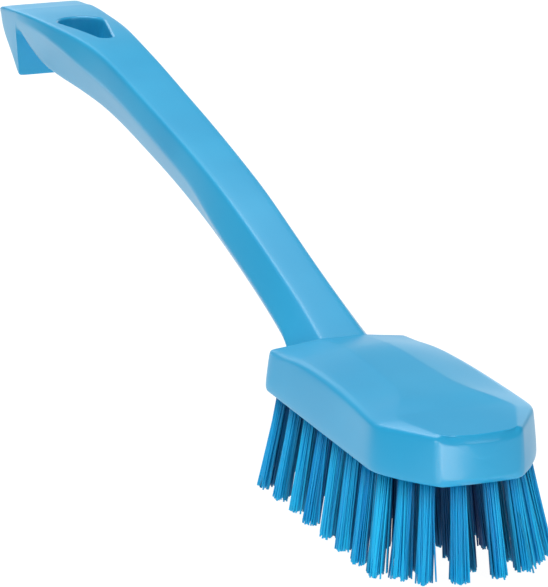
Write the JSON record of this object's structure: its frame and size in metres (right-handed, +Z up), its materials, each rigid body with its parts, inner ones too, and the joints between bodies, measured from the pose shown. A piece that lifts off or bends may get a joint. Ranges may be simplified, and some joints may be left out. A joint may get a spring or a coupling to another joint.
{
  "type": "utility brush",
  "caption": "Long-handled utility brush: faceted block with splayed bristle tufts, moulded together with an arched handle that ends in a hanging hole and a hook.",
  "frame": {"origin": "middle of the brush's length and width, on the plane of the bristle tips", "axes": "+X from the hook to the front of the head, +Y across the brush, +Z up from the bristle tips to the handle"},
  "size_m": [0.421, 0.06, 0.0938],
  "materials": {
    "blue_plastic": "semi-gloss moulded polypropylene, sky blue",
    "blue_bristle": "polyester filaments, medium blue"
  },
  "bodies": {
    "root": {"block_and_handle": "blue_plastic", "tuft_centre_1": "blue_bristle", "tuft_centre_2": "blue_bristle", "tuft_centre_3": "blue_bristle", "tuft_centre_4": "blue_bristle", "tuft_centre_5": "blue_bristle", "tuft_centre_6": "blue_bristle", "tuft_centre_7": "blue_bristle", "tuft_centre_8": "blue_bristle", "tuft_centre_9": "blue_bristle", "tuft_front_left_1": "blue_bristle", "tuft_front_left_2": "blue_bristle", "tuft_front_left_3": "blue_bristle", "tuft_front_right_1": "blue_bristle", "tuft_front_right_2": "blue_bristle", "tuft_front_right_3": "blue_bristle", "tuft_middle_left_1": "blue_bristle", "tuft_middle_left_2": "blue_bristle", "tuft_middle_left_3": "blue_bristle", "tuft_middle_left_4": "blue_bristle", "tuft_middle_left_5": "blue_bristle", "tuft_middle_left_6": "blue_bristle", "tuft_middle_left_7": "blue_bristle", "tuft_middle_left_8": "blue_bristle", "tuft_middle_right_1": "blue_bristle", "tuft_middle_right_2": "blue_bristle", "tuft_middle_right_3": "blue_bristle", "tuft_middle_right_4": "blue_bristle", "tuft_middle_right_5": "blue_bristle", "tuft_middle_right_6": "blue_bristle", "tuft_middle_right_7": "blue_bristle", "tuft_middle_right_8": "blue_bristle", "tuft_outer_left_1": "blue_bristle", "tuft_outer_left_2": "blue_bristle", "tuft_outer_left_3": "blue_bristle", "tuft_outer_left_4": "blue_bristle", "tuft_outer_left_5": "blue_bristle", "tuft_outer_left_6": "blue_bristle", "tuft_outer_left_7": "blue_bristle", "tuft_outer_left_8": "blue_bristle", "tuft_outer_right_1": "blue_bristle", "tuft_outer_right_2": "blue_bristle", "tuft_outer_right_3": "blue_bristle", "tuft_outer_right_4": "blue_bristle", "tuft_outer_right_5": "blue_bristle", "tuft_outer_right_6": "blue_bristle", "tuft_outer_right_7": "blue_bristle", "tuft_outer_right_8": "blue_bristle", "tuft_rear_left": "blue_bristle", "tuft_rear_right": "blue_bristle"}
  },
  "joints": []
}
